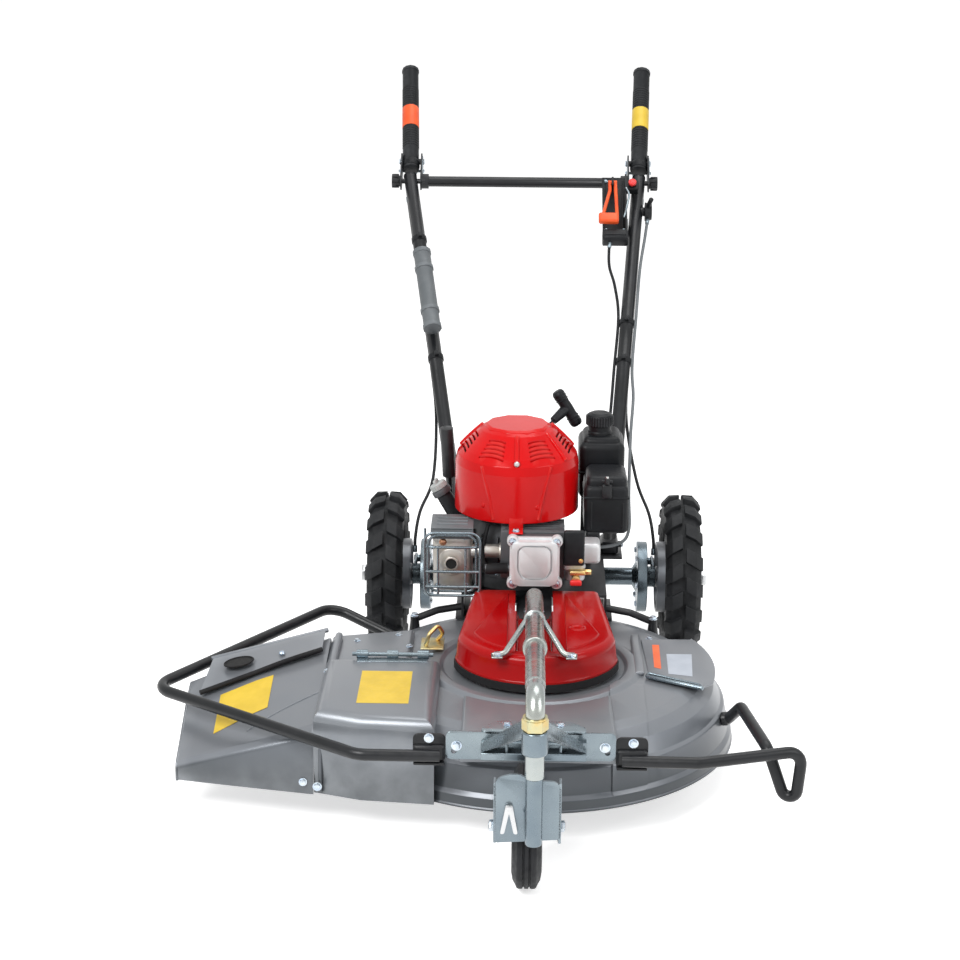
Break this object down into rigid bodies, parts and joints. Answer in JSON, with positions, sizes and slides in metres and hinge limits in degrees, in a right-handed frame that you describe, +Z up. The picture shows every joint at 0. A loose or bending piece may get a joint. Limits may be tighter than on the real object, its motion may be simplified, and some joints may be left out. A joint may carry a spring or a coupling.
{
  "type": "petrol lawn mower",
  "caption": "Walk-behind petrol mower with a side chute, two driven lugged rear wheels, a swivelling front wheel on a gooseneck pole and a vertical-shaft engine.",
  "frame": {"origin": "middle of the machine's plan, on the ground under the tyres", "axes": "+Z up, front wheel towards -Y, handles towards +Y, discharge chute towards -X; left and right in the node names are as seen from the front, so left is -X"},
  "size_m": [1.0098, 1.8794, 0.9773],
  "materials": {
    "deck_enamel": "metallic grey enamel, satin",
    "red_enamel": "red enamel, gloss",
    "black_enamel": "black enamel, satin",
    "zinc": "zinc plated steel, slightly blue",
    "steel": "bright steel",
    "alloy": "cast aluminium, matt",
    "tyre": "lugged pneumatic tyre",
    "rubber": "black rubber",
    "black_plastic": "black moulded plastic",
    "grey_plastic": "grey moulded plastic",
    "pale_plastic": "pale grey moulded plastic",
    "orange_plastic": "orange moulded plastic",
    "red_plastic": "red moulded plastic",
    "brass": "brass"
  },
  "bodies": {
    "chassis": {"deck_housing": "deck_enamel", "discharge_chute": "deck_enamel", "belt_cover": "red_enamel", "cover_seal": "rubber", "front_pole": "zinc", "front_plate": "zinc", "side_guard_left": "black_enamel", "side_guard_right": "black_enamel", "main_frame": "black_enamel", "engine_block": "alloy", "rocker_cover": "alloy", "fan_cover": "red_enamel", "muffler": "steel", "muffler_guard": "steel", "air_cleaner": "black_plastic", "carburettor": "alloy", "fuel_tank": "black_plastic", "gearbox": "alloy", "drive_belt": "rubber", "blade_belt": "rubber", "clutch_plate_left": "zinc", "clutch_plate_right": "zinc", "handle_arm_left": "black_enamel", "handle_arm_right": "black_enamel", "crossbar": "black_enamel", "control_box": "black_plastic", "tool_tube": "grey_plastic", "clutch_cable_left": "black_plastic", "clutch_cable_right": "black_plastic", "throttle_cable": "grey_plastic", "blade_cable": "black_plastic"},
    "rear_wheel_left": {"rear_tyre_left": "tyre", "rear_rim_left": "deck_enamel"},
    "rear_wheel_right": {"rear_tyre_right": "tyre", "rear_rim_right": "deck_enamel"},
    "drive_axle": {"drive_axle": "steel"},
    "clutch_arm_left": {"clutch_arm_left": "zinc"},
    "clutch_arm_right": {"clutch_arm_right": "zinc"},
    "front_fork": {"front_fork": "zinc"},
    "swivel_lock": {"swivel_lock": "steel"},
    "front_wheel": {"front_wheel": "rubber"},
    "engine_shaft": {"crankshaft": "steel", "flywheel_fan": "alloy"},
    "cutter": {"blade_spindle": "steel", "blade": "steel"},
    "drive_pulley": {"drive_pulley": "steel"},
    "upper_handle_left": {"upper_handle_left": "black_plastic"},
    "upper_handle_right": {"upper_handle_right": "black_plastic"},
    "clutch_lever_left": {"clutch_lever_left": "zinc"},
    "clutch_lever_right": {"clutch_lever_right": "zinc"},
    "blade_lever": {"blade_lever": "orange_plastic"},
    "throttle_lever": {"throttle_lever": "black_plastic"},
    "stop_button": {"stop_button": "red_plastic"},
    "shift_lever": {"shift_lever": "black_enamel"},
    "starter_grip": {"starter_grip": "black_plastic"},
    "chute_flap": {"chute_flap": "deck_enamel"},
    "side_cover": {"side_cover": "deck_enamel"},
    "fuel_cap": {"fuel_cap": "black_plastic"},
    "oil_cap": {"oil_cap": "pale_plastic"},
    "fuel_tap": {"fuel_tap": "brass"}
  },
  "joints": [
    {"name": "rear_wheel_left_spin", "type": "hinge", "parent": "chassis", "child": "rear_wheel_left", "pos_m": [-0.16959, 0.11379, 0.15], "axis": [1, 0, 0], "continuous": true},
    {"name": "rear_wheel_right_spin", "type": "hinge", "parent": "chassis", "child": "rear_wheel_right", "pos_m": [0.36141, 0.11379, 0.15], "axis": [1, 0, 0], "continuous": true},
    {"name": "front_swivel", "type": "hinge", "parent": "chassis", "child": "front_fork", "pos_m": [0.09591, -0.92121, 0.218], "axis": [0, 0, 1], "continuous": true},
    {"name": "swivel_lock_slide", "type": "slide", "parent": "front_fork", "child": "swivel_lock", "axis": [0, 0, 1], "range_m": [0, 0.008], "stiffness_N_per_m": 150},
    {"name": "front_wheel_spin", "type": "hinge", "parent": "front_fork", "child": "front_wheel", "pos_m": [0.08691, -0.80821, 0.09], "axis": [1, 0, 0], "continuous": true},
    {"name": "engine_shaft_spin", "type": "hinge", "parent": "chassis", "child": "engine_shaft", "pos_m": [0.06391, -0.04621, 0.2085], "axis": [0, 0, 1], "continuous": true},
    {"name": "cutter_spin", "type": "hinge", "parent": "chassis", "child": "cutter", "pos_m": [0.09591, -0.35821, 0.066], "axis": [0, 0, 1], "continuous": true},
    {"name": "drive_pulley_spin", "type": "hinge", "parent": "chassis", "child": "drive_pulley", "pos_m": [0.09591, 0.11379, 0.1925], "axis": [0, 0, 1], "continuous": true},
    {"name": "drive_axle_spin", "type": "hinge", "parent": "chassis", "child": "drive_axle", "pos_m": [0.09591, 0.11379, 0.15], "axis": [1, 0, 0], "continuous": true},
    {"name": "upper_handle_left_fold", "type": "hinge", "parent": "chassis", "child": "upper_handle_left", "pos_m": [-0.15709, 0.70879, 0.771], "axis": [1, 0, 0], "range_deg": [-10, 15]},
    {"name": "upper_handle_right_fold", "type": "hinge", "parent": "chassis", "child": "upper_handle_right", "pos_m": [0.29691, 0.70879, 0.771], "axis": [1, 0, 0], "range_deg": [-10, 15]},
    {"name": "clutch_lever_left_squeeze", "type": "hinge", "parent": "upper_handle_left", "child": "clutch_lever_left", "pos_m": [-0.15892, 0.75947, 0.78299], "axis": [1, 0, 0], "range_deg": [0, 8.5], "stiffness_Nm_per_rad": 2, "springref_deg": -5.73},
    {"name": "clutch_lever_right_squeeze", "type": "hinge", "parent": "upper_handle_right", "child": "clutch_lever_right", "pos_m": [0.29874, 0.75947, 0.78299], "axis": [1, 0, 0], "range_deg": [0, 8.5], "stiffness_Nm_per_rad": 2, "springref_deg": -5.73},
    {"name": "clutch_arm_left_turn", "type": "hinge", "parent": "chassis", "child": "clutch_arm_left", "pos_m": [-0.10939, 0.08379, 0.19], "axis": [-1, 0, 0], "range_deg": [0, 6.2]},
    {"name": "clutch_arm_right_turn", "type": "hinge", "parent": "chassis", "child": "clutch_arm_right", "pos_m": [0.30121, 0.08379, 0.19], "axis": [-1, 0, 0], "range_deg": [0, 6.2]},
    {"name": "blade_lever_lift", "type": "hinge", "parent": "chassis", "child": "blade_lever", "pos_m": [0.24391, 0.664, 0.77957], "axis": [-1, 0, 0], "range_deg": [0, 35], "stiffness_Nm_per_rad": 0.3, "springref_deg": -17.19},
    {"name": "throttle_turn", "type": "hinge", "parent": "chassis", "child": "throttle_lever", "pos_m": [0.30852, 0.65487, 0.72363], "axis": [1, 0, 0], "range_deg": [-20, 25]},
    {"name": "stop_button_push", "type": "slide", "parent": "chassis", "child": "stop_button", "axis": [0, 0.66, -0.7513], "range_m": [0, 0.0025], "stiffness_N_per_m": 300, "springref_m": -0.002},
    {"name": "shift_lever_turn", "type": "hinge", "parent": "chassis", "child": "shift_lever", "pos_m": [-0.02839, 0.03579, 0.188], "axis": [-1, 0, 0], "range_deg": [0, 14]},
    {"name": "starter_pull", "type": "slide", "parent": "chassis", "child": "starter_grip", "axis": [0.6564, 0.5891, 0.4713], "range_m": [0, 0.09], "stiffness_N_per_m": 80, "springref_m": -0.02},
    {"name": "chute_flap_lift", "type": "hinge", "parent": "chassis", "child": "chute_flap", "pos_m": [-0.24909, -0.27821, 0.1835], "axis": [-0.8972, -0.4307, -0.0974], "range_deg": [0, 70]},
    {"name": "side_cover_lift", "type": "hinge", "parent": "chassis", "child": "side_cover", "pos_m": [0.28191, -0.41171, 0.16405], "axis": [0.8752, -0.4837, 0], "range_deg": [0, 80]},
    {"name": "fuel_cap_turn", "type": "hinge", "parent": "chassis", "child": "fuel_cap", "pos_m": [0.20791, 0.04179, 0.457], "axis": [0, 0, 1], "range_deg": [0, 90]},
    {"name": "oil_cap_turn", "type": "hinge", "parent": "chassis", "child": "oil_cap", "pos_m": [-0.07009, -0.00621, 0.35], "axis": [-0.5257, 0.0678, 0.8479], "range_deg": [0, 90]},
    {"name": "fuel_tap_turn", "type": "hinge", "parent": "chassis", "child": "fuel_tap", "pos_m": [0.16591, -0.17221, 0.247], "axis": [0, 1, 0], "range_deg": [0, 90]}
  ],
  "couplings": [
    {"joint": "cutter_spin", "follows": "engine_shaft_spin", "ratio": 0.56667},
    {"joint": "drive_pulley_spin", "follows": "engine_shaft_spin", "ratio": 0.65385},
    {"joint": "drive_axle_spin", "follows": "engine_shaft_spin", "ratio": 0.021092},
    {"joint": "clutch_arm_left_turn", "follows": "clutch_lever_left_squeeze", "ratio": 0.72},
    {"joint": "clutch_arm_right_turn", "follows": "clutch_lever_right_squeeze", "ratio": 0.72}
  ]
}
